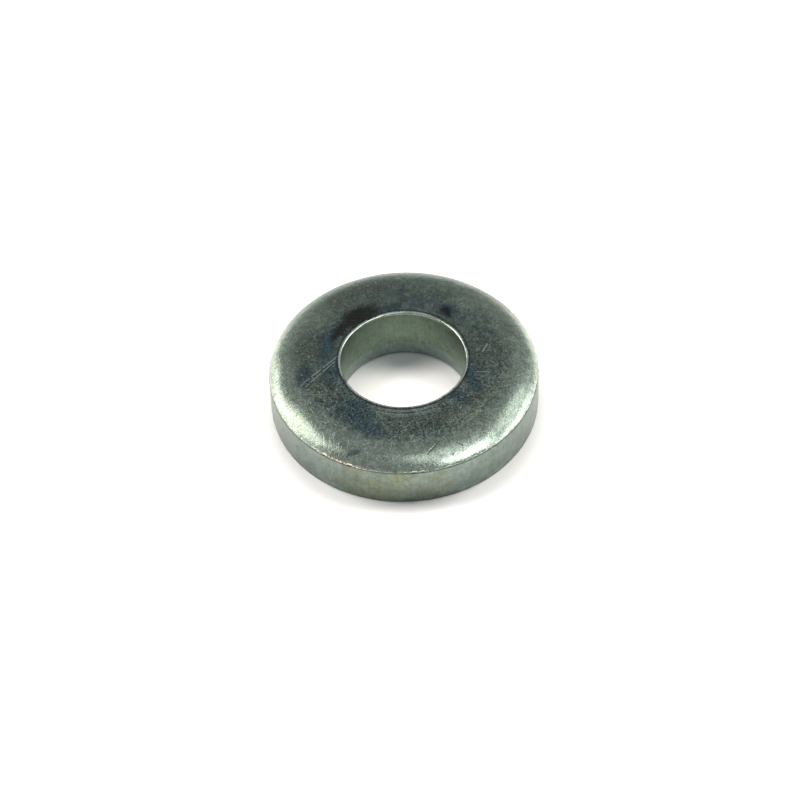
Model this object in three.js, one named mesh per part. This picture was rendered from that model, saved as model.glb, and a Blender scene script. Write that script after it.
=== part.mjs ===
// A thick flat washer: one ring stamped from steel plate, then tumbled and zinc plated.
// Units are millimetres and +Z is up. The washer lies on its flat underside, and the
// origin is the centre of the bore in the plane of that underside.

import * as THREE from "three";

// Driving dimensions

const OUTER_DIAMETER = 22.0; // across the sheared outer wall
const BORE_DIAMETER = 10.2; // clears an M10 bolt
const THICKNESS = 5.0; // from the flat underside to the flat top face

// The die roll: cutting the ring out of the plate drags the rim of the top face down in a
// wide soft curve, which meets the outer wall at a sharp crest.
const ROLL_WIDTH = 3.6; // measured in from the outer wall
const ROLL_DEPTH = 1.4; // from the top face down to the crest
const ROLL_END_SLOPE = THREE.MathUtils.degToRad(55); // below the horizontal, at the crest

// Edges that the tumbling rounds off
const BORE_TOP_RADIUS = 0.15;
const BORE_BOTTOM_RADIUS = 0.3;
const OUTER_BOTTOM_RADIUS = 0.15;

// Fineness of the facets
const SIDES = 96; // a multiple of 4, so that the full diameter lies on both X and Y
const ROLL_STEPS = 8;
const EDGE_STEPS = 3;

const ZINC_PLATED_STEEL = { color: 0x8f978d, roughness: 0.42, metalness: 0.9 };

// A quarter circle round (centreX, centreY), as points (distance from the axis, height).
function roundedEdge(centreX, centreY, radius, startAngle) {
  const endAngle = startAngle + Math.PI / 2;
  const arc = new THREE.EllipseCurve(centreX, centreY, radius, radius, startAngle, endAngle);
  return arc.getPoints(EDGE_STEPS);
}

function outerBottomEdge(outerRadius) {
  const centreX = outerRadius - OUTER_BOTTOM_RADIUS;
  return roundedEdge(centreX, OUTER_BOTTOM_RADIUS, OUTER_BOTTOM_RADIUS, -Math.PI / 2);
}

function boreTopEdge(boreRadius) {
  const centreX = boreRadius + BORE_TOP_RADIUS;
  return roundedEdge(centreX, THICKNESS - BORE_TOP_RADIUS, BORE_TOP_RADIUS, Math.PI / 2);
}

function boreBottomEdge(boreRadius) {
  const centreX = boreRadius + BORE_BOTTOM_RADIUS;
  return roundedEdge(centreX, BORE_BOTTOM_RADIUS, BORE_BOTTOM_RADIUS, Math.PI);
}

// The die roll from the crest up and in to the flat top face, which it joins with no step.
function dieRoll(outerRadius) {
  const crest = new THREE.Vector2(outerRadius, THICKNESS - ROLL_DEPTH);
  const bend = new THREE.Vector2(outerRadius - ROLL_DEPTH / Math.tan(ROLL_END_SLOPE), THICKNESS);
  const start = new THREE.Vector2(outerRadius - ROLL_WIDTH, THICKNESS);
  return new THREE.QuadraticBezierCurve(crest, bend, start).getPoints(ROLL_STEPS);
}

// The section of the ring on one side of the axis, as a closed outline. It runs up the outer
// wall, in over the top, down the bore and out along the underside.
function washerSection() {
  const outerRadius = OUTER_DIAMETER / 2;
  const boreRadius = BORE_DIAMETER / 2;
  const outline = [
    ...outerBottomEdge(outerRadius),
    ...dieRoll(outerRadius),
    ...boreTopEdge(boreRadius),
    ...boreBottomEdge(boreRadius),
  ];
  outline.push(outline[0].clone());
  return outline;
}

function makeWasher() {
  const ring = new THREE.LatheGeometry(washerSection(), SIDES);
  ring.rotateX(Math.PI / 2); // the lathe turns about Y, and the washer's axis is Z
  const washer = new THREE.Mesh(ring, new THREE.MeshStandardMaterial(ZINC_PLATED_STEEL));
  washer.name = "flat_washer";
  return washer;
}

const part = new THREE.Group();
part.add(makeWasher());

export default part;
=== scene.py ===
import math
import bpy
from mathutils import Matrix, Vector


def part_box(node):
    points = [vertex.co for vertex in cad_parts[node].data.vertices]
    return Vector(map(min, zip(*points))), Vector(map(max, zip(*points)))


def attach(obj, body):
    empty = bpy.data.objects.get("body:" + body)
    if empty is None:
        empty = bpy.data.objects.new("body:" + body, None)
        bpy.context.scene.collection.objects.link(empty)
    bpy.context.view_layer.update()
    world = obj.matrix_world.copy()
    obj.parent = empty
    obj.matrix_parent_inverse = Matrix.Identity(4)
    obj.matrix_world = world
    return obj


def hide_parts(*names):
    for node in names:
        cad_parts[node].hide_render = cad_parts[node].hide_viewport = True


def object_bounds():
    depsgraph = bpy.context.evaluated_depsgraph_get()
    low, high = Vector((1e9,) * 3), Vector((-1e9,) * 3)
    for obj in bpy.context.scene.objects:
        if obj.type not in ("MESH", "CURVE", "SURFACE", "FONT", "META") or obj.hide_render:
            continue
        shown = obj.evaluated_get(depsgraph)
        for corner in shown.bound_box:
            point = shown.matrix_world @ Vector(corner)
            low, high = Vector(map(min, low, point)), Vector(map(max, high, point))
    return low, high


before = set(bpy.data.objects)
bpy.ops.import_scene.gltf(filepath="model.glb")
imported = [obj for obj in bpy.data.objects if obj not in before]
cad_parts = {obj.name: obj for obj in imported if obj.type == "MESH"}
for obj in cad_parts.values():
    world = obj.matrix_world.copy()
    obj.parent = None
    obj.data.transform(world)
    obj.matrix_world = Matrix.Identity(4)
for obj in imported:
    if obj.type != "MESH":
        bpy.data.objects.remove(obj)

# A thick, zinc-plated flat washer, stamped from steel plate. Metres, +Z up: it lies on z = 0,
# with the rolled rim of the stamping facing up.

from types import SimpleNamespace

import bpy
import numpy as np
from mathutils import Matrix, Vector, noise

CAD_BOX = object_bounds()
NODE = "flat_washer"
MM = 0.001
rng = np.random.default_rng(7)

# ---------------------------------------------------------------- sizes, as in the CAD

LOW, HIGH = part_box(NODE)
OUTER_RADIUS = (HIGH.x - LOW.x) / 2
THICKNESS = HIGH.z - LOW.z
BORE_RADIUS = 5.1 * MM
ROLL_WIDTH = 3.6 * MM
ROLL_DEPTH = 1.4 * MM
ROLL_END_SLOPE = math.radians(55)
BORE_TOP_RADIUS = 0.15 * MM
BORE_BOTTOM_RADIUS = 0.3 * MM
OUTER_BOTTOM_RADIUS = 0.15 * MM
CREST_RADIUS = 0.05 * MM
CREST_HEIGHT = THICKNESS - ROLL_DEPTH

AROUND = 576  # vertices round the ring

TOP_DENTS = 260
WALL_DENTS = 60
CREST_NICKS = 110
WALL_BREAK_HEIGHT = 0.55 * MM  # below this the punch tore the steel instead of shearing it
WALL_BREAK_DEPTH = 0.022 * MM
BORE_BREAK_HEIGHT = 1.45 * MM
BORE_BREAK_DEPTH = 0.014 * MM
CREST_SPREAD = 0.16 * MM

FLOOR_HALF = 1.5
LIGHT_DISTANCE = 1.5
WARM_WHITE = (1.05, 1.0, 0.94)
PAPER_WHITE = (0.93, 0.93, 0.93)
ROOM_HORIZON = (0.45, 0.46, 0.46)
ROOM_ABOVE = (0.33, 0.345, 0.355)


# ---------------------------------------------------------------- the plating's colours and marks

ZINC_COOL = (0.15, 0.205, 0.195)
ZINC_GREEN = (0.195, 0.26, 0.205)
ZINC_OLIVE = (0.21, 0.245, 0.175)
ZINC_VIOLET = (0.175, 0.19, 0.195)
LIGHT_PLATE = (0.31, 0.37, 0.30)
ROLL_ZINC = (0.44, 0.52, 0.43)
WALL_ZINC = (0.165, 0.20, 0.155)
# Partly a blue tint, partly a painted reflection round the sides of the wall.
WALL_BLUE_SHEEN = (0.215, 0.265, 0.235)
WALL_OLIVE = (0.195, 0.21, 0.135)
# Painted sky reflection on the upper wall.
WALL_SKY_REFLECTION = (0.22, 0.275, 0.285)
# Painted shade towards the foot of the wall.
WALL_FOOT_SHADE = (0.13, 0.15, 0.15)
BORE_ZINC = (0.17, 0.225, 0.17)
BORE_FOOT_ZINC = (0.30, 0.36, 0.34)
UNDER_ZINC = (0.36, 0.42, 0.36)
BLUE_PASSIVATE = (0.085, 0.135, 0.155)
DULL_PLATE = (0.145, 0.165, 0.14)
# Also the colour of the painted shade round the rim of the bore.
BLACK_STAIN_AND_SHADE = (0.04, 0.043, 0.038)
BARE_SCRATCH = (0.78, 0.84, 0.78)
# Partly wear, partly a painted highlight on the rim of the bore.
WORN_EDGE_HIGHLIGHT = (0.62, 0.70, 0.60)
# Partly bare steel, partly a painted highlight on the crest.
BARE_STEEL_HIGHLIGHT = (0.80, 0.72, 0.60)
RUST = (0.30, 0.16, 0.09)
# Also the colour of the painted shade under the crest and at the foot of the wall.
PIT_AND_SHADE = (0.06, 0.07, 0.07)

# Stains and patches on the top face, in mm: centre, half length, half width, and the turn of the long side
# in degrees.
DARK_STAINS = [
    ((-3.5, 5.0), 1.9, 0.95, 34),
    ((-5.0, 3.5), 1.3, 0.5, 58),
    ((3.7, 5.1), 0.6, 0.45, -50),
]
BLUE_STAINS = [
    ((-1.0, 5.7), 1.3, 0.4, 12),
    ((3.7, 5.1), 1.0, 0.75, -50),
    ((5.9, -0.5), 1.3, 0.6, -82),
    ((5.4, -2.5), 1.4, 0.6, -62),
    ((4.3, -4.3), 1.3, 0.5, -42),
    ((-6.2, 1.6), 1.9, 0.8, 75),
    ((-5.9, -1.0), 1.5, 0.7, 85),
    ((-8.1, -1.2), 1.3, 0.7, 80),
    ((-3.8, -5.6), 1.6, 1.3, -55),
    ((-3.0, -7.4), 1.4, 0.7, -30),
    ((-4.2, -9.3), 0.5, 0.2, 0),
]
DULL_STAINS = [
    ((6.9, 0.4), 1.8, 1.5, 75),
    ((-8.0, 1.6), 1.8, 1.2, 75),
    ((-2.6, 8.2), 2.2, 1.0, 10),
    ((-5.2, 6.9), 1.5, 0.9, 40),
    ((3.1, -6.2), 1.6, 0.9, 30),
    ((0.8, -7.0), 1.7, 0.9, 5),
]
LIGHT_STAINS = [
    ((4.8, -6.6), 2.0, 1.1, 38),
    ((6.0, 5.9), 1.9, 1.0, -42),
    ((8.3, 3.6), 1.5, 0.8, -60),
    ((-6.9, 4.9), 1.6, 0.9, 55),
]

# The bruise also carries a painted highlight along the crest.
BRUISE = (-5.2 * MM, -9.7 * MM, 0)  # where the crest is bruised down to bare steel

# Scratches, in mm. Dark and long ones: both ends and the half width. Fine ones: direction in degrees, length,
# width, the noise level they start at, and a shift that makes each set differ.
DARK_SCRATCHES = [
    ((1.6, -9.8), (2.3, -9.1), 0.08),
    ((4.0, -8.8), (4.4, -9.0), 0.09),
]
LONG_SCRATCHES = [
    ((-8.4, -2.4), (-5.1, 0.8), 0.07),
    ((-8.0, -2.6), (-5.6, -0.0), 0.06),
    ((-6.7, -7.2), (-6.6, -8.8), 0.07),
    ((6.5, 0.5), (6.9, 1.3), 0.08),
    ((5.9, -1.7), (7.0, -1.8), 0.06),
]
FINE_SCRATCHES = [
    (12, 0.9, 0.07, 0.68, 41),
    (48, 0.8, 0.06, 0.69, 44),
    (80, 0.9, 0.07, 0.68, 47),
    (-65, 0.8, 0.06, 0.69, 50),
    (-28, 1.0, 0.07, 0.68, 53),
    (30, 2.2, 0.08, 0.71, 56),
    (-50, 2.0, 0.08, 0.71, 59),
]


# ---------------------------------------------------------------- the ring's section

def arc(centre, radius, start, end, steps):
    """Points (distance from the axis, height) on an arc, without its last one. Angles in degrees."""
    angles = np.radians(np.linspace(start, end, steps, endpoint=False))
    return [(centre[0] + radius * math.cos(a), centre[1] + radius * math.sin(a)) for a in angles]


def straight(start, end, steps, grading=1.0):
    """Points from start towards end, without the end. A grading over 1 crowds them towards both ends."""
    t = np.linspace(0, 1, steps, endpoint=False)
    if grading > 1:
        t = t + (grading - 1) / 4 * -np.sin(2 * math.pi * t) / math.pi
    return [(start[0] + (end[0] - start[0]) * k, start[1] + (end[1] - start[1]) * k) for k in t]


def die_roll(steps):
    """The soft curve from the crest up and in to the flat top face."""
    crest = Vector((OUTER_RADIUS, CREST_HEIGHT))
    bend = Vector((OUTER_RADIUS - ROLL_DEPTH / math.tan(ROLL_END_SLOPE), THICKNESS))
    start = Vector((OUTER_RADIUS - ROLL_WIDTH, THICKNESS))
    points = []
    for t in np.linspace(0, 1, steps, endpoint=False) ** 1.15:
        points.append(tuple(crest * (1 - t) ** 2 + bend * (2 * t * (1 - t)) + start * t ** 2))
    return points


def section():
    """The ring's outline on one side of the axis: up the outer wall, in over the top, down the bore and
    out along the underside."""
    wall_foot = OUTER_RADIUS - OUTER_BOTTOM_RADIUS
    wall_top = CREST_HEIGHT - CREST_RADIUS
    roll_start = OUTER_RADIUS - ROLL_WIDTH
    bore_rim = BORE_RADIUS + BORE_TOP_RADIUS
    bore_top = THICKNESS - BORE_TOP_RADIUS
    bore_foot = BORE_RADIUS + BORE_BOTTOM_RADIUS
    outline = arc((wall_foot, OUTER_BOTTOM_RADIUS), OUTER_BOTTOM_RADIUS, -90, 0, steps=4)
    outline += straight((OUTER_RADIUS, OUTER_BOTTOM_RADIUS), (OUTER_RADIUS, wall_top), steps=34, grading=1.6)
    outline += arc((OUTER_RADIUS - CREST_RADIUS, wall_top), CREST_RADIUS, 0, 35, steps=3)
    outline += [p for p in die_roll(steps=44) if p[1] > CREST_HEIGHT + 0.2 * CREST_RADIUS]
    outline += straight((roll_start, THICKNESS), (bore_rim, THICKNESS), steps=22)
    outline += arc((bore_rim, bore_top), BORE_TOP_RADIUS, 90, 180, steps=7)
    outline += straight((BORE_RADIUS, bore_top), (BORE_RADIUS, BORE_BOTTOM_RADIUS), steps=36)
    outline += arc((bore_foot, BORE_BOTTOM_RADIUS), BORE_BOTTOM_RADIUS, 180, 270, steps=5)
    outline += straight((bore_foot, 0), (wall_foot, 0), steps=18)
    return np.array(outline)


def section_normals(outline):
    """Unit normals of the closed outline, pointing out of the metal."""
    along = np.roll(outline, -1, axis=0) - np.roll(outline, 1, axis=0)
    out = np.stack([along[:, 1], -along[:, 0]], axis=1)
    return out / np.linalg.norm(out, axis=1, keepdims=True)


# ---------------------------------------------------------------- wear and marks in the metal

def smooth_step(low, high, value):
    t = np.clip((value - low) / (high - low), 0, 1)
    return t * t * (3 - 2 * t)


def noise_at(points, size, stretch=(1, 1, 1), octaves=3, shift=0.0):
    """Fractal noise from about -1 to 1 at each point. size is the width of its features, and stretch how
    many times longer they are along X, Y and Z."""
    scaled = points / size / np.array(stretch) + shift
    return np.array([noise.fractal(Vector(p), 1.0, 2.0, octaves) for p in scaled])


def craters(points, spots):
    """How deep the small round dents go at each point. spots are (centre, radius, depth)."""
    depth = np.zeros(len(points))
    for centre, radius, most in spots:
        away = np.linalg.norm(points - centre, axis=1)
        near = away < 3 * radius
        depth[near] += most * np.exp(-((away[near] / radius) ** 2))
    return depth


def on_ring(angle, radius, height):
    return np.array([radius * math.cos(angle), radius * math.sin(angle), height])


def roll_height(radius):
    """The height of the top face or the die roll at this distance from the axis."""
    t = np.clip((OUTER_RADIUS - radius) / ROLL_WIDTH, 0, 1)
    return THICKNESS - ROLL_DEPTH * (1 - t) ** 1.9


def tumbling_dents():
    """Shallow dents that the tumbling left all over the top face, the die roll and the outer wall."""
    spots = []
    for _ in range(TOP_DENTS):
        radius = math.sqrt(rng.uniform(BORE_RADIUS ** 2, OUTER_RADIUS ** 2))
        place = on_ring(rng.uniform(0, 2 * math.pi), radius, roll_height(radius))
        spots.append((place, rng.uniform(0.08, 0.32) * MM, rng.uniform(0.003, 0.016) * MM))
    for _ in range(WALL_DENTS):
        place = on_ring(rng.uniform(0, 2 * math.pi), OUTER_RADIUS, rng.uniform(0.3, 3.4) * MM)
        spots.append((place, rng.uniform(0.08, 0.3) * MM, rng.uniform(0.004, 0.02) * MM))
    return spots


def crest_nicks():
    """Small nicks knocked into the sharp crest."""
    return [
        (on_ring(rng.uniform(0, 2 * math.pi), OUTER_RADIUS, CREST_HEIGHT), size, rng.uniform(0.2, 0.5) * size)
        for size in rng.uniform(0.04, 0.15, CREST_NICKS) * MM
    ]


def relief(points, normals):
    """How far each point of the ring's surface lies above its plain shape, in metres."""
    radius = np.hypot(points[:, 0], points[:, 1])
    height = points[:, 2]
    on_wall = smooth_step(OUTER_RADIUS - 0.05 * MM, OUTER_RADIUS - 0.01 * MM, radius)
    in_bore = 1 - smooth_step(BORE_RADIUS + 0.02 * MM, BORE_RADIUS + 0.1 * MM, radius)
    upward = np.clip(normals[:, 2], 0, 1)
    downward = smooth_step(0.5, 0.9, -normals[:, 2])

    waves = noise_at(points, 4.0 * MM) * 0.010 * MM
    skin = noise_at(points, 0.7 * MM, shift=11) * 0.0045 * MM * (1 - 0.6 * on_wall)
    streaks = noise_at(points, 0.22 * MM, (1, 1, 14), shift=23) * 0.006 * MM * np.maximum(on_wall, in_bore)

    break_line = WALL_BREAK_HEIGHT + noise_at(points * (1, 1, 0), 1.5 * MM, shift=31) * 0.25 * MM
    broken = on_wall * (1 - smooth_step(break_line - 0.1 * MM, break_line + 0.1 * MM, height))
    broken_depth = broken * (WALL_BREAK_DEPTH + 0.010 * MM * noise_at(points, 0.3 * MM, shift=41))

    bore_line = BORE_BREAK_HEIGHT + noise_at(points * (1, 1, 0), 2.5 * MM, shift=51) * 0.3 * MM
    bore_broken = in_bore * (1 - smooth_step(bore_line - 0.2 * MM, bore_line + 0.2 * MM, height))
    bore_depth = bore_broken * BORE_BREAK_DEPTH

    dents = craters(points, tumbling_dents())
    out_from_crest = (radius - OUTER_RADIUS) / CREST_SPREAD
    up_from_crest = (height - CREST_HEIGHT) / CREST_SPREAD
    crest = np.exp(-(out_from_crest ** 2 + up_from_crest ** 2))
    jagged = crest * (0.012 * MM + 0.012 * MM * noise_at(points, 0.25 * MM, shift=61))
    nicks = craters(points, crest_nicks())
    inward = broken_depth + bore_depth + dents * np.maximum(upward, on_wall) + jagged + nicks
    return (waves + skin + streaks - inward) * (1 - 0.8 * downward)


def ring_points():
    """The ring's vertices row by row, each row once round, and the normals of its plain shape."""
    outline = section()
    across = section_normals(outline)
    angles = np.arange(AROUND) * 2 * math.pi / AROUND
    circle = np.stack([np.cos(angles), np.sin(angles)], axis=1)

    def turned(pairs):
        flat = pairs[:, None, :1] * circle[None]
        high = np.repeat(pairs[:, None, 1:], AROUND, axis=1)
        return np.concatenate([flat, high], axis=2).reshape(-1, 3)

    return turned(outline), turned(across), len(outline)


def ring_faces(rows):
    """Quads between each row and the next, the last row joining the first."""
    row, column = np.meshgrid(np.arange(rows), np.arange(AROUND), indexing="ij")
    next_row, next_column = (row + 1) % rows, (column + 1) % AROUND
    corners = [(row, column), (row, next_column), (next_row, next_column), (next_row, column)]
    return np.stack([(r * AROUND + c).ravel() for r, c in corners], axis=1)


def make_washer(material):
    points, normals, rows = ring_points()
    points = points + normals * relief(points, normals)[:, None]
    low, high = np.array(CAD_BOX[0]), np.array(CAD_BOX[1])
    points = np.clip(points, low, high)
    mesh = bpy.data.meshes.new("washer_body")
    mesh.from_pydata(points.tolist(), [], ring_faces(rows).tolist())
    mesh.shade_smooth()
    mesh.materials.append(material)
    washer = bpy.data.objects.new("washer_body", mesh)
    bpy.context.scene.collection.objects.link(washer)
    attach(washer, "root")
    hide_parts(NODE)
    return washer


# ---------------------------------------------------------------- materials

class Graph:
    """Adds shader nodes to a tree. Each input may be a number, a vector, a colour or a node's output."""

    def __init__(self, tree):
        self.tree = tree

    def add(self, kind, inputs=None, **settings):
        """A new node of this kind, with its settings, and with its inputs set or linked by name or number."""
        node = self.tree.nodes.new(kind)
        for name, value in settings.items():
            setattr(node, name, value)
        for name, value in (inputs or {}).items():
            self.feed(node.inputs[name], value)
        return node

    def feed(self, socket, value):
        if isinstance(value, bpy.types.NodeSocket):
            self.tree.links.new(value, socket)
        elif socket.type == "RGBA":
            socket.default_value = (*value, 1)
        else:
            socket.default_value = value

    def math(self, operation, first, second=0.0, clamp=False):
        node = self.add("ShaderNodeMath", {0: first, 1: second}, operation=operation, use_clamp=clamp)
        return node.outputs[0]

    def times(self, *values):
        product = values[0]
        for value in values[1:]:
            product = self.math("MULTIPLY", product, value)
        return product

    def plus(self, first, second):
        return self.math("ADD", first, second)

    def minus(self, first, second):
        return self.math("SUBTRACT", first, second)

    def most(self, *values):
        largest = values[0]
        for value in values[1:]:
            largest = self.math("MAXIMUM", largest, value)
        return largest

    def vector(self, operation, first, second=(0, 0, 0)):
        node = self.add("ShaderNodeVectorMath", {0: first, 1: second}, operation=operation)
        return node.outputs["Value" if operation in ("LENGTH", "DOT_PRODUCT") else "Vector"]

    def scaled(self, vector, factor):
        """A vector or colour times a number."""
        node = self.add("ShaderNodeVectorMath", {0: vector, "Scale": factor}, operation="SCALE")
        return node.outputs["Vector"]

    def noise_vector(self, position, size, reach, shift=0.0):
        """The position moved about by noise, by up to about half the reach each way."""
        moved = self.vector("ADD", position, (shift * MM, -shift * MM, shift * MM))
        cloud = self.add("ShaderNodeTexNoise", {"Vector": moved, "Scale": 1 / size, "Detail": 3.0}).outputs[1]
        centred = self.vector("SUBTRACT", cloud, (0.5, 0.5, 0.5))
        return self.vector("ADD", position, self.scaled(centred, reach))

    def ring_lines(self, radius, height):
        """A position that changes only with the distance from the axis and the height, for turned lines."""
        return self.add("ShaderNodeCombineXYZ", {"X": radius, "Y": height}).outputs[0]

    def separate(self, vector):
        return tuple(self.add("ShaderNodeSeparateXYZ", {0: vector}).outputs)

    def ramp(self, value, low, high, start=0.0, end=1.0):
        """Goes smoothly from start to end while the value goes from low to high, which may be below low."""
        inputs = {"Value": value, "From Min": low, "From Max": high, "To Min": start, "To Max": end}
        return self.add("ShaderNodeMapRange", inputs, interpolation_type="SMOOTHSTEP").outputs[0]

    def mix(self, first, second, amount):
        """A colour between the first and the second."""
        node = self.add("ShaderNodeMix", data_type="RGBA")
        colours = [s for s in node.inputs if s.type == "RGBA"]
        self.feed(node.inputs[0], amount)
        self.feed(colours[0], first)
        self.feed(colours[1], second)
        return [s for s in node.outputs if s.type == "RGBA"][0]

    def blend(self, first, second, amount):
        """A number between the first and the second."""
        return self.add("ShaderNodeMix", {0: amount, 2: first, 3: second}, data_type="FLOAT").outputs[0]

    def turned(self, position, degrees, stretch):
        """The position seen along axes turned about Z, each measured in its own stretch: noise read there is
        that many times longer along them."""
        inputs = {"Vector": position, "Rotation": (0, 0, math.radians(degrees)), "Scale": stretch}
        return self.add("ShaderNodeMapping", inputs, vector_type="TEXTURE").outputs[0]

    def noise(self, position, size, detail=3.0, roughness=0.55, shift=0.0):
        """Cloudy noise between 0 and 1, about 0.5, with features of this size in metres."""
        moved = self.vector("ADD", position, (shift * MM, -shift * MM, shift * MM))
        inputs = {"Vector": moved, "Scale": 1 / size, "Detail": detail, "Roughness": roughness}
        return self.add("ShaderNodeTexNoise", inputs).outputs[0]

    def cells(self, position, size):
        """Distance from the nearest of many scattered points, as a share of their spacing."""
        return self.add("ShaderNodeTexVoronoi", {"Vector": position, "Scale": 1 / size}).outputs[0]


def straight_scratch(graph, position, start, end, width):
    """1 in a scratch from start to end (mm), 0 outside it. It is broken up along its length."""
    start, end = Vector((*start, 0)) * MM, Vector((*end, 0)) * MM
    along = end - start
    from_start = graph.vector("SUBTRACT", position, tuple(start))
    reached = graph.vector("DOT_PRODUCT", from_start, tuple(along))
    share = graph.math("DIVIDE", reached, along.length_squared, clamp=True)
    foot = graph.scaled(tuple(along), share)
    away = graph.vector("LENGTH", graph.vector("SUBTRACT", from_start, foot))
    wobble = graph.noise(position, 0.25 * MM, detail=2.0, shift=71)
    return graph.times(graph.ramp(away, width * MM, 0.3 * width * MM), graph.ramp(wobble, 0.34, 0.46))


def stain(graph, position, centre, length, width, degrees, softness=0.5):
    """1 inside an oval stain on the top face, 0 outside it, with a ragged edge. Sizes in mm, half across."""
    from_centre = graph.vector("SUBTRACT", position, (centre[0] * MM, centre[1] * MM, 0))
    squeezed = graph.turned(from_centre, degrees, (length * MM, width * MM, 1))
    return graph.ramp(graph.vector("LENGTH", squeezed), 1 + softness, 1 - softness)


def fine_scratches(graph, position, degrees, length, width, threshold, shift):
    """1 in thin scratches that all run one way, 0 between them."""
    stretched = graph.turned(position, degrees, (length / width, 1, 1))
    streaks = graph.noise(stretched, width * MM, detail=1.0, shift=shift)
    return graph.ramp(streaks, threshold, threshold + 0.06)


def zones(graph, radius, height):
    """How much each point belongs to the bore, the underside, the outer wall, the top and the rolled rim."""
    bore = graph.ramp(radius, BORE_RADIUS + 0.20 * MM, BORE_RADIUS + 0.06 * MM)
    under = graph.ramp(height, 0.14 * MM, 0.02 * MM)
    low = graph.ramp(height, CREST_HEIGHT + 0.06 * MM, CREST_HEIGHT - 0.02 * MM)
    wall = graph.times(low, graph.ramp(radius, OUTER_RADIUS - 0.22 * MM, OUTER_RADIUS - 0.12 * MM))
    rest = graph.minus(1.0, graph.most(bore, under, wall))
    roll = graph.times(rest, graph.ramp(radius, OUTER_RADIUS - 3.4 * MM, OUTER_RADIUS - 1.4 * MM))
    return {"bore": bore, "under": under, "wall": wall, "top": rest, "roll": roll}


def stain_masks(graph, flat):
    """The dark, blue, dull and light patches on the top face, from the passivating bath and from handling."""
    ragged = graph.noise_vector(flat, 0.55 * MM, 0.9 * MM, shift=5)
    kinds = (DARK_STAINS, BLUE_STAINS, DULL_STAINS, LIGHT_STAINS)
    return [graph.most(*(stain(graph, ragged, *shape) for shape in kind)) for kind in kinds]


def surface_fields(graph):
    """What the plating's colour and relief depend on: a point's place and zone, and noises of many sizes."""
    position = graph.add("ShaderNodeTexCoord").outputs["Object"]
    flat = graph.vector("MULTIPLY", position, (1, 1, 0))
    radius = graph.vector("LENGTH", flat)
    x, y, height = graph.separate(position)
    zone = zones(graph, radius, height)
    upright = graph.turned(position, 0, (1, 1, 22))
    return SimpleNamespace(
        position=position,
        flat=flat,
        radius=radius,
        x=x,
        y=y,
        height=height,
        zone=zone,
        on_side=graph.most(zone["wall"], zone["bore"]),
        away_back=graph.ramp(y, 7.0 * MM, -6.0 * MM),
        clouds=graph.noise(position, 3.2 * MM, detail=4.0, shift=3),
        tint=graph.noise(position, 1.7 * MM, detail=4.0, roughness=0.65, shift=9),
        hue=graph.noise(position, 1.1 * MM, detail=3.0, roughness=0.6, shift=39),
        blotches=graph.noise(position, 0.6 * MM, detail=5.0, roughness=0.7, shift=17),
        grain=graph.noise(position, 0.16 * MM, detail=3.0, roughness=0.6, shift=27),
        streaks=graph.noise(upright, 0.17 * MM, detail=3.0, roughness=0.6, shift=37),
    )


def scratch_mask(graph, at, dark, blue):
    """1 in the bright scratches and in the turned lines at the front of the bore, 0 elsewhere."""
    fine = graph.most(*(fine_scratches(graph, at.flat, *kind) for kind in FINE_SCRATCHES))
    covered = graph.times(graph.most(dark, graph.times(blue, 0.5)), 0.8)
    fine = graph.times(fine, graph.blend(0.5, 0.85, at.away_back), graph.minus(1.0, covered))
    long = graph.most(*(straight_scratch(graph, at.flat, *ends) for ends in LONG_SCRATCHES))
    near_front = graph.ramp(graph.separate(graph.vector("NORMALIZE", at.flat))[1], -0.86, -0.97)
    near_bore = graph.ramp(at.radius, BORE_RADIUS + 1.3 * MM, BORE_RADIUS + 0.8 * MM)
    lines = graph.noise(graph.ring_lines(at.radius, at.height), 0.07 * MM, detail=0.0)
    turned_lines = graph.times(near_front, near_bore, graph.ramp(lines, 0.56, 0.66))
    level = graph.times(at.zone["top"], graph.minus(1.0, graph.times(at.zone["roll"], 0.5)))
    return graph.times(level, graph.most(fine, long, turned_lines))


def pit_mask(graph, at):
    """1 in the pits and the dark scratches, 0 elsewhere. The pits are fainter on the wall and in the bore."""
    shifted = graph.vector("ADD", at.position, (MM, MM, MM))
    pit = graph.ramp(graph.cells(shifted, 0.75 * MM), 0.13, 0.06)
    pit = graph.times(pit, graph.minus(1.0, graph.times(at.on_side, 0.6)))
    gouge = graph.most(*(straight_scratch(graph, at.flat, *ends) for ends in DARK_SCRATCHES))
    return graph.most(pit, graph.times(gouge, at.zone["top"]))


def surface_marks(graph, at):
    """Where the stains, scratches, pits and worn edges are. The worn rim of the bore also carries a painted
    highlight, and the dark line under the crest is painted shade.
    """
    dark, blue, dull, light = stain_masks(graph, at.flat)
    at_edge = graph.ramp(at.radius, OUTER_RADIUS - 0.25 * MM, OUTER_RADIUS - 0.10 * MM)
    below_crest = graph.math("ABSOLUTE", graph.minus(at.height, CREST_HEIGHT - 0.07 * MM))
    under_crest = graph.ramp(below_crest, 0.10 * MM, 0.04 * MM)
    rim_low = graph.ramp(at.radius, BORE_RADIUS + 0.16 * MM, BORE_RADIUS + 0.10 * MM)
    return SimpleNamespace(
        dark=dark,
        blue=blue,
        dull=dull,
        light=light,
        bright=scratch_mask(graph, at, dark, blue),
        pit=pit_mask(graph, at),
        at_edge=at_edge,
        # The dark line under the crest is painted shade; in the relief it is a shallow groove.
        groove_and_painted_shade=graph.times(at_edge, under_crest, graph.ramp(at.streaks, 0.28, 0.42)),
        rim=graph.times(rim_low, graph.ramp(at.height, THICKNESS - 0.20 * MM, THICKNESS - 0.12 * MM)),
    )


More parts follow.
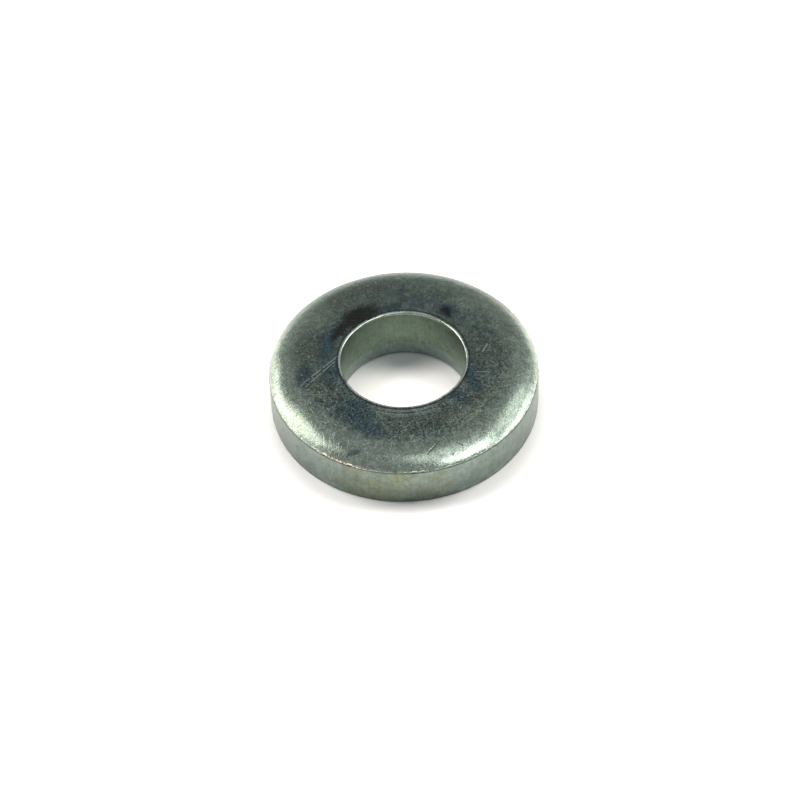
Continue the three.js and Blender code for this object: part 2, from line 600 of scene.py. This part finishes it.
def plate_colour(graph, at):
    """The plating's colour on the top face and the rolled rim. The rim is painted lighter towards the front,
    a painted sheen, and darker towards the back, a painted shade.
    """
    colour = graph.mix(ZINC_COOL, ZINC_GREEN, graph.ramp(at.tint, 0.40, 0.60))
    colour = graph.mix(colour, ZINC_OLIVE, graph.times(graph.ramp(at.clouds, 0.45, 0.62), 0.55))
    colour = graph.mix(colour, ZINC_VIOLET, graph.times(graph.ramp(at.hue, 0.52, 0.64), 0.7))
    # Painted sheen and shade: the rim's lighter colour is mixed in most at the front and least at the back.
    front_sheen_back_shade = graph.ramp(at.y, 8.0 * MM, 2.0 * MM, 0.1, 0.85)
    return graph.mix(colour, ROLL_ZINC, graph.times(at.zone["roll"], front_sheen_back_shade))


def with_wall(graph, at, colour):
    """Adds the outer wall: olive and darker at the front, lighter and bluer round the sides as a painted
    reflection, with blue clouds, blue patches up the wall that are a painted sky reflection, and painted
    shade in clouds towards its foot.
    """
    wall = at.zone["wall"]
    colour = graph.mix(colour, WALL_ZINC, wall)
    # Painted reflection: the wall is lighter and bluer round the sides than at the front, mixed with random
    # blue clouds.
    from_front = graph.math("ABSOLUTE", graph.plus(at.x, 1.5 * MM))
    blue_clouds_and_side_sheen = graph.most(graph.ramp(from_front, 2.5 * MM, 6.0 * MM), graph.ramp(at.clouds, 0.46, 0.62, 0.0, 0.6))
    colour = graph.mix(colour, WALL_BLUE_SHEEN, graph.times(wall, blue_clouds_and_side_sheen))
    olive = graph.times(wall, graph.ramp(at.hue, 0.48, 0.62), graph.minus(1.0, graph.times(blue_clouds_and_side_sheen, 0.6)))
    colour = graph.mix(colour, WALL_OLIVE, graph.times(olive, 0.7))
    # Painted sky reflection: light blue patches, stronger up the wall.
    painted_sky_reflection = graph.times(wall, graph.ramp(at.tint, 0.54, 0.66), graph.ramp(at.height, 0.8 * MM, 2.4 * MM))
    colour = graph.mix(colour, WALL_SKY_REFLECTION, graph.times(painted_sky_reflection, 0.7))
    # Painted shade: the wall darkens in clouds towards its foot.
    painted_foot_shade = graph.times(graph.ramp(at.tint, 0.46, 0.62), graph.ramp(at.height, 2.4 * MM, 0.3 * MM))
    return graph.mix(colour, WALL_FOOT_SHADE, graph.times(wall, painted_foot_shade, 0.5))


def with_bore_and_underside(graph, at, colour):
    """Adds the bore, with its paler torn foot, and the underside."""
    # Painted shade and light: the bore's colour is darker towards its top and lighter low down.
    bore_colour = graph.scaled(BORE_ZINC, graph.ramp(at.height, 1.5 * MM, THICKNESS, 1.3, 0.75))
    colour = graph.mix(colour, bore_colour, at.zone["bore"])
    bore_line = graph.plus(1.2 * MM, graph.times(at.clouds, 0.6 * MM))
    below_line = graph.ramp(graph.minus(at.height, bore_line), 0.12 * MM, -0.12 * MM)
    colour = graph.mix(colour, BORE_FOOT_ZINC, graph.times(at.zone["bore"], below_line))
    return graph.mix(colour, UNDER_ZINC, at.zone["under"])


def with_stains(graph, at, marks, colour):
    """Adds the patches on the top face, broken up by the tumbling."""
    top = at.zone["top"]
    broken = graph.ramp(at.blotches, 0.30, 0.62)
    colour = graph.mix(colour, LIGHT_PLATE, graph.times(top, marks.light, 0.85))
    colour = graph.mix(colour, BLUE_PASSIVATE, graph.times(top, marks.blue, graph.blend(broken, 1.0, 0.35)))
    colour = graph.mix(colour, DULL_PLATE, graph.times(top, marks.dull, broken))
    return graph.mix(colour, BLACK_STAIN_AND_SHADE, graph.times(top, marks.dark, graph.blend(broken, 1.0, 0.85)))


def with_mottling(graph, at, colour):
    """Lightens and darkens the colour in blotches and grains, most strongly at the front of the top face, and
    in upright streaks on the wall and in the bore."""
    roll = at.zone["roll"]
    depth = graph.blend(graph.blend(0.30, 0.42, at.away_back), 0.20, roll)
    mottle = graph.ramp(at.blotches, 0.28, 0.72, graph.minus(1.0, depth), graph.plus(1.0, depth))
    depth = graph.blend(graph.blend(0.30, 0.88, at.away_back), 0.28, roll)
    speckle = graph.ramp(at.grain, 0.26, 0.74, graph.minus(1.0, depth), graph.plus(1.0, depth))
    side_streaks = graph.ramp(at.streaks, 0.25, 0.75, 0.93, 1.07)
    side_blotches = graph.ramp(at.blotches, 0.25, 0.75, 0.80, 1.20)
    side_grain = graph.ramp(at.grain, 0.25, 0.75, 0.88, 1.12)
    side_mottle = graph.times(side_streaks, side_blotches, side_grain)
    return graph.scaled(colour, graph.blend(graph.times(mottle, speckle), side_mottle, at.on_side))


def with_scratches_and_pits(graph, at, marks, colour):
    """Adds the bright scratches, bright specks and dark pits."""
    colour = graph.mix(colour, BARE_SCRATCH, graph.times(marks.bright, 0.75))
    speck = graph.times(at.zone["top"], graph.ramp(graph.cells(at.position, 0.55 * MM), 0.15, 0.07))
    colour = graph.mix(colour, BARE_SCRATCH, graph.times(speck, 0.6))
    return graph.mix(colour, PIT_AND_SHADE, graph.times(marks.pit, 0.7))


def with_crest_wear_and_painted_light(graph, at, marks, colour):
    """Adds the crest: a bright line along it, partly the bare steel of the wear and partly a painted
    highlight, brightest and rusty where it is bruised, and a dark line of painted shade under it.
    """
    to_crest = graph.math("ABSOLUTE", graph.minus(at.height, CREST_HEIGHT + 0.07 * MM))
    to_bruise = graph.vector("LENGTH", graph.vector("SUBTRACT", at.flat, BRUISE))
    bruised = graph.ramp(to_bruise, 2.6 * MM, 1.6 * MM)
    crest_line = graph.ramp(to_crest, 0.13 * MM, 0.06 * MM)
    crest = graph.times(marks.at_edge, crest_line, graph.ramp(at.grain, 0.38, 0.54))
    # Painted highlight: the bright crest line, strongest at the bruise, partly bare steel.
    colour = graph.mix(colour, BARE_STEEL_HIGHLIGHT, graph.times(crest, graph.blend(0.15, 0.95, bruised)))
    rust_line = graph.ramp(to_crest, 0.20 * MM, 0.10 * MM)
    rust_spots = graph.ramp(graph.cells(at.position, 0.28 * MM), 0.42, 0.26)
    rust = graph.times(marks.at_edge, bruised, rust_line, rust_spots)
    colour = graph.mix(colour, RUST, graph.times(rust, 0.85))
    # Painted shade: the dark line under the crest.
    return graph.mix(colour, PIT_AND_SHADE, graph.times(marks.groove_and_painted_shade, 0.8))


def with_rim_marks_and_painted_light(graph, at, marks, colour):
    """Adds the rim of the bore: a lighter worn edge that is partly a painted highlight, a thin bright line
    outside it that is a painted highlight, and a dark line of painted shade outside that. The foot of the
    wall is darkened with painted contact shade too."""
    worn = graph.times(marks.rim, graph.ramp(at.blotches, 0.30, 0.55, 0.15, 0.8))
    # Partly wear, partly a painted highlight: the rim of the bore is lightened.
    colour = graph.mix(colour, WORN_EDGE_HIGHLIGHT, worn)
    near_top = graph.ramp(at.height, THICKNESS - 0.06 * MM, THICKNESS - 0.03 * MM)
    near_rim = graph.ramp(at.radius, BORE_RADIUS + 0.24 * MM, BORE_RADIUS + 0.18 * MM)
    # Painted highlight: a thin bright line round the rim of the bore.
    painted_rim_highlight = graph.times(near_top, near_rim, graph.ramp(at.tint, 0.36, 0.48), graph.ramp(at.grain, 0.32, 0.48))
    colour = graph.mix(colour, BARE_SCRATCH, painted_rim_highlight)
    near_bore = graph.ramp(at.radius, BORE_RADIUS + 0.44 * MM, BORE_RADIUS + 0.32 * MM)
    patchy = graph.ramp(at.blotches, 0.25, 0.50)
    shade = graph.times(at.zone["top"], near_bore, graph.minus(1.0, painted_rim_highlight), patchy)
    # Painted shade: a dark line on the top face just outside the rim of the bore.
    colour = graph.mix(colour, BLACK_STAIN_AND_SHADE, graph.times(shade, 0.7))
    # Painted contact shade: the foot of the wall is darkened where it meets the floor.
    foot = graph.times(at.zone["wall"], graph.ramp(at.height, 0.26 * MM, 0.08 * MM))
    return graph.mix(colour, PIT_AND_SHADE, graph.times(foot, 0.5))


def plate_roughness(graph, at, marks):
    """Satin on top, glossier on the front of the rolled rim and smoothest on the worn rim of the bore."""
    zone = at.zone
    roll_rough = graph.ramp(at.y, 1.0 * MM, 7.0 * MM, 0.21, 0.36)
    rough = graph.blend(0.28, roll_rough, zone["roll"])
    rough = graph.blend(rough, 0.31, zone["wall"])
    rough = graph.blend(rough, 0.46, zone["bore"])
    rough = graph.blend(rough, 0.2, marks.rim)
    uneven = graph.times(graph.minus(at.blotches, 0.5), graph.blend(0.24, 0.10, zone["roll"]))
    rough = graph.plus(rough, uneven)
    rough = graph.plus(rough, graph.times(graph.most(marks.dark, marks.dull), zone["top"], 0.14))
    return graph.minus(rough, graph.times(marks.bright, 0.06))


def fine_relief(graph, at, marks):
    """Height of the grain, streaks, scratches and pits, in mm."""
    top_depth = graph.blend(0.018, 0.011, at.zone["roll"])
    height = graph.times(graph.minus(at.grain, 0.5), graph.blend(top_depth, 0.006, at.on_side))
    height = graph.plus(height, graph.times(graph.minus(at.streaks, 0.5), at.on_side, 0.010))
    height = graph.minus(height, graph.times(marks.bright, 0.006))
    height = graph.minus(height, graph.times(marks.pit, 0.014))
    return graph.minus(height, graph.times(marks.groove_and_painted_shade, 0.010))


def zinc_material():
    """Zinc plate over stamped steel: a grey-green satin with a blue-green passivate, mottled by tumbling."""
    material = bpy.data.materials.new("zinc_plated_steel")
    material.use_nodes = True
    graph = Graph(material.node_tree)
    at = surface_fields(graph)
    marks = surface_marks(graph, at)

    colour = plate_colour(graph, at)
    colour = with_wall(graph, at, colour)
    colour = with_bore_and_underside(graph, at, colour)
    colour = with_stains(graph, at, marks, colour)
    colour = with_mottling(graph, at, colour)
    colour = with_scratches_and_pits(graph, at, marks, colour)
    colour = with_crest_wear_and_painted_light(graph, at, marks, colour)
    colour = with_rim_marks_and_painted_light(graph, at, marks, colour)
    height = fine_relief(graph, at, marks)
    bump = graph.add("ShaderNodeBump", {"Strength": 1.0, "Distance": MM, "Height": height})

    shader = material.node_tree.nodes["Principled BSDF"]
    shader.inputs["Metallic"].default_value = 1.0
    graph.feed(shader.inputs["Base Color"], colour)
    graph.feed(shader.inputs["Roughness"], plate_roughness(graph, at, marks))
    graph.feed(shader.inputs["Normal"], bump.outputs[0])
    return material


def floor_material():
    material = bpy.data.materials.new("white_paper")
    material.use_nodes = True
    shader = material.node_tree.nodes["Principled BSDF"]
    shader.inputs["Base Color"].default_value = (*PAPER_WHITE, 1)
    shader.inputs["Roughness"].default_value = 0.9
    shader.inputs["Specular IOR Level"].default_value = 0.1
    return material


# ---------------------------------------------------------------- studio

def make_floor():
    corners = [(-1, -1), (1, -1), (1, 1), (-1, 1)]
    mesh = bpy.data.meshes.new("floor")
    mesh.from_pydata([(x * FLOOR_HALF, y * FLOOR_HALF, 0) for x, y in corners], [], [(0, 1, 2, 3)])
    mesh.materials.append(floor_material())
    floor = bpy.data.objects.new("floor", mesh)
    bpy.context.scene.collection.objects.link(floor)
    return floor


def make_camera():
    """The camera looks down at the washer from the front, from a little under 300 mm away."""
    elevation = math.radians(48.6)
    distance = 25.6 * OUTER_RADIUS
    tilt = math.radians(-2.36)
    back = Vector((0, -math.cos(elevation), math.sin(elevation)))
    right = Vector((1, 0, 0))
    up = back.cross(right)
    aim = -0.40 * MM * right - 0.02 * MM * up
    camera = bpy.data.objects.new("camera", bpy.data.cameras.new("camera"))
    camera.data.sensor_width = 36
    camera.data.lens = 153.8
    camera.data.clip_start = 0.01
    camera.rotation_mode = "QUATERNION"
    camera.location = aim + back * distance
    turn = back.to_track_quat("Z", "Y").to_matrix() @ Matrix.Rotation(tilt, 3, "Z")
    camera.rotation_quaternion = turn.to_quaternion()
    bpy.context.scene.collection.objects.link(camera)
    bpy.context.scene.camera = camera


def soft_box(name, lit, azimuth, elevation, width, height, brightness, colour=(1, 1, 1)):
    """A soft box LIGHT_DISTANCE away that lights only the lit object. Its azimuth is in degrees from +X
    towards +Y, its sizes are shares of the distance, and its brightness is a share of white."""
    turn, rise = math.radians(azimuth), math.radians(elevation)
    towards = Vector((math.cos(turn) * math.cos(rise), math.sin(turn) * math.cos(rise), math.sin(rise)))
    light = bpy.data.lights.new(name, "AREA")
    light.shape = "RECTANGLE"
    light.size = width * LIGHT_DISTANCE
    light.size_y = height * LIGHT_DISTANCE
    light.energy = brightness * math.pi * light.size * light.size_y
    light.color = colour
    box = bpy.data.objects.new(name, light)
    box.location = towards * LIGHT_DISTANCE
    box.rotation_mode = "QUATERNION"
    box.rotation_quaternion = towards.to_track_quat("Z", "Y")
    box.visible_camera = False
    box.light_linking.receiver_collection = bpy.data.collections.new(name)
    box.light_linking.receiver_collection.objects.link(lit)
    bpy.context.scene.collection.objects.link(box)


def make_lights(washer, floor):
    """Soft boxes on the left, on the right and round the front right light only the washer, and draw the
    bright bands on the rolled rim. Three behind it light only the paper, so that it is white without washing
    out the metal, and they leave the soft shadow towards the front."""
    soft_box("left_low", washer, 170, 12, 0.52, 0.40, 2.0, WARM_WHITE)
    soft_box("left_back_low", washer, 148, 12, 0.46, 0.36, 2.0, WARM_WHITE)
    soft_box("left_front_low", washer, 200, 12, 0.50, 0.36, 0.3, WARM_WHITE)
    soft_box("left_high", washer, 176, 36, 0.60, 0.44, 2.1, WARM_WHITE)
    soft_box("right_low", washer, 8, 12, 0.50, 0.36, 2.3)
    soft_box("right_front_low", washer, -14, 12, 0.50, 0.36, 1.7)
    soft_box("right_back_low", washer, 30, 12, 0.50, 0.36, 0.3)
    soft_box("right_high", washer, 14, 38, 0.60, 0.44, 1.2)
    soft_box("front_right_high", washer, -38, 38, 0.60, 0.44, 3.1)
    soft_box("front_top", washer, -50, 64, 0.60, 0.44, 0.8)
    soft_box("floor_back", floor, 90, 66, 0.36, 0.36, 9.0, WARM_WHITE)
    soft_box("floor_left", floor, 156, 52, 0.42, 0.36, 15.5, WARM_WHITE)
    soft_box("floor_right", floor, 24, 52, 0.42, 0.36, 14.0, WARM_WHITE)


def make_world():
    """A dim grey room, paler along the horizon and slightly blue above."""
    world = bpy.data.worlds.new("studio")
    world.use_nodes = True
    graph = Graph(world.node_tree)
    height = graph.separate(graph.add("ShaderNodeTexCoord").outputs["Generated"])[2]
    above = graph.ramp(height, 0.05, 0.35)
    colour = graph.mix(ROOM_HORIZON, ROOM_ABOVE, above)
    background = world.node_tree.nodes["Background"]
    graph.feed(background.inputs["Color"], colour)
    background.inputs["Strength"].default_value = 1.0
    bpy.context.scene.world = world
    bpy.context.scene.view_settings.view_transform = "Standard"


make_camera()
make_world()
make_lights(make_washer(zinc_material()), make_floor())
